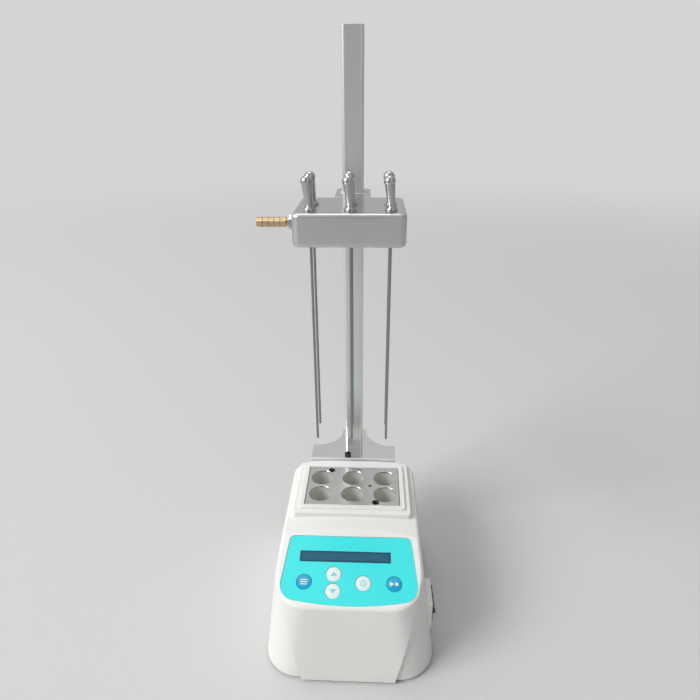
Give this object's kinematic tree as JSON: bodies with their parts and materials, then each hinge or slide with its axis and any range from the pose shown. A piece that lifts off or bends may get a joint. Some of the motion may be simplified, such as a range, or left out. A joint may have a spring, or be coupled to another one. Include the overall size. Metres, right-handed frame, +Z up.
{
  "type": "dry block heater",
  "caption": "Compact dry block heater with a wedge housing, sloped control panel and drilled block, and a valved gas head with needles that slides on a rear pole.",
  "frame": {"origin": "on the table, under the middle of the base", "axes": "+X to the right as the user faces the panel, +Y away from the user, +Z up along the pole"},
  "size_m": [0.1268, 0.1968, 0.4246],
  "materials": {
    "housing_white": "glossy moulded ABS",
    "base_grey": "matt moulded ABS",
    "foot_rubber": "matt rubber",
    "black_screw": "black oxide on steel",
    "block_alloy": "satin, machined wells with bright rims",
    "foam_grey": "dense mineral-fibre felt",
    "steel": "drawn stainless steel",
    "board_green": "printed circuit board",
    "display_dark": "unlit liquid-crystal display",
    "window_tint": "tinted clear polycarbonate",
    "overlay_cyan": "printed polyester film",
    "key_blue": "glossy moulded keys",
    "key_white": "glossy moulded keys",
    "switch_black": "black nylon",
    "bracket_polished": "mirror polished plate",
    "pole_alloy": "satin anodised tube",
    "liner_acetal": "white acetal",
    "head_alloy": "bead-blasted and anodised",
    "gasket_rubber": "silicone sheet",
    "lever_chrome": "polished plating",
    "barb_brass": "turned brass"
  },
  "bodies": {
    "base": {"upper_housing": "housing_white", "base_plate": "base_grey", "rubber_feet": "foot_rubber", "base_screws": "black_screw", "block_bezel": "housing_white", "heating_block": "block_alloy", "block_screws": "black_screw", "heater_plate": "block_alloy", "insulation_pad": "foam_grey", "temperature_sensor": "steel", "control_board": "board_green", "display_board": "board_green", "board_screws": "steel", "lcd_module": "display_dark", "lcd_window": "window_tint", "panel_overlay": "overlay_cyan", "switch_body": "switch_black", "power_inlet": "switch_black", "stand_bracket": "bracket_polished", "bracket_screws": "steel", "shelf_screw": "black_screw", "pole": "pole_alloy", "pole_cap": "pole_alloy", "pole_plug": "pole_alloy", "pole_screw": "steel"},
    "gas_head": {"carriage": "head_alloy", "carriage_liner": "liner_acetal", "arm_bar": "head_alloy", "manifold_body": "head_alloy", "manifold_gasket": "gasket_rubber", "manifold_cover": "head_alloy", "manifold_screws": "steel", "valve_collars": "lever_chrome", "needles": "steel", "needle_fittings": "steel", "hose_barb": "barb_brass", "barb_nut": "lever_chrome"},
    "clamp": {"clamp_knob": "switch_black", "clamp_screw": "steel"},
    "lever_left_front": {"valve_lever_left_front": "lever_chrome"},
    "lever_middle_front": {"valve_lever_middle_front": "lever_chrome"},
    "lever_right_front": {"valve_lever_right_front": "lever_chrome"},
    "lever_left_rear": {"valve_lever_left_rear": "lever_chrome"},
    "lever_middle_rear": {"valve_lever_middle_rear": "lever_chrome"},
    "lever_right_rear": {"valve_lever_right_rear": "lever_chrome"},
    "left_key": {"left_key": "key_blue"},
    "up_key": {"up_key": "key_white"},
    "down_key": {"down_key": "key_white"},
    "middle_key": {"middle_key": "key_white"},
    "right_key": {"right_key": "key_blue"},
    "rocker": {"switch_rocker": "switch_black"}
  },
  "joints": [
    {"name": "head_slide", "type": "slide", "parent": "base", "child": "gas_head", "axis": [0, 0, 1], "range_m": [-0.08, 0.095]},
    {"name": "clamp_turn", "type": "hinge", "parent": "gas_head", "child": "clamp", "pos_m": [-0.001, 0.117, 0.30575], "axis": [0, 1, 0], "continuous": true},
    {"name": "valve_left_front", "type": "hinge", "parent": "gas_head", "child": "lever_left_front", "pos_m": [-0.0264, 0.0248, 0.3175], "axis": [0, 1, 0], "range_deg": [-13, 23]},
    {"name": "valve_middle_front", "type": "hinge", "parent": "gas_head", "child": "lever_middle_front", "pos_m": [-0.0004, 0.0248, 0.3175], "axis": [0, 1, 0], "range_deg": [-13, 23]},
    {"name": "valve_right_front", "type": "hinge", "parent": "gas_head", "child": "lever_right_front", "pos_m": [0.0256, 0.0248, 0.3175], "axis": [0, 1, 0], "range_deg": [-13, 23]},
    {"name": "valve_left_rear", "type": "hinge", "parent": "gas_head", "child": "lever_left_rear", "pos_m": [-0.0264, 0.0452, 0.3175], "axis": [0, 1, 0], "range_deg": [-13, 23]},
    {"name": "valve_middle_rear", "type": "hinge", "parent": "gas_head", "child": "lever_middle_rear", "pos_m": [-0.0004, 0.0452, 0.3175], "axis": [0, 1, 0], "range_deg": [-13, 23]},
    {"name": "valve_right_rear", "type": "hinge", "parent": "gas_head", "child": "lever_right_rear", "pos_m": [0.0256, 0.0452, 0.3175], "axis": [0, 1, 0], "range_deg": [-13, 23]},
    {"name": "left_key_press", "type": "slide", "parent": "base", "child": "left_key", "axis": [0, -0.3173, 0.9483], "range_m": [-0.0005, 0], "stiffness_N_per_m": 1500, "springref_m": 0.0001},
    {"name": "up_key_press", "type": "slide", "parent": "base", "child": "up_key", "axis": [0, -0.3173, 0.9483], "range_m": [-0.0005, 0], "stiffness_N_per_m": 1500, "springref_m": 0.0001},
    {"name": "down_key_press", "type": "slide", "parent": "base", "child": "down_key", "axis": [0, -0.3173, 0.9483], "range_m": [-0.0005, 0], "stiffness_N_per_m": 1500, "springref_m": 0.0001},
    {"name": "middle_key_press", "type": "slide", "parent": "base", "child": "middle_key", "axis": [0, -0.3173, 0.9483], "range_m": [-0.0005, 0], "stiffness_N_per_m": 1500, "springref_m": 0.0001},
    {"name": "right_key_press", "type": "slide", "parent": "base", "child": "right_key", "axis": [0, -0.3173, 0.9483], "range_m": [-0.0005, 0], "stiffness_N_per_m": 1500, "springref_m": 0.0001},
    {"name": "power_rocker", "type": "hinge", "parent": "base", "child": "rocker", "pos_m": [0.06, -0.0356, 0.04], "axis": [0, 1, 0], "range_deg": [0, 22]}
  ]
}
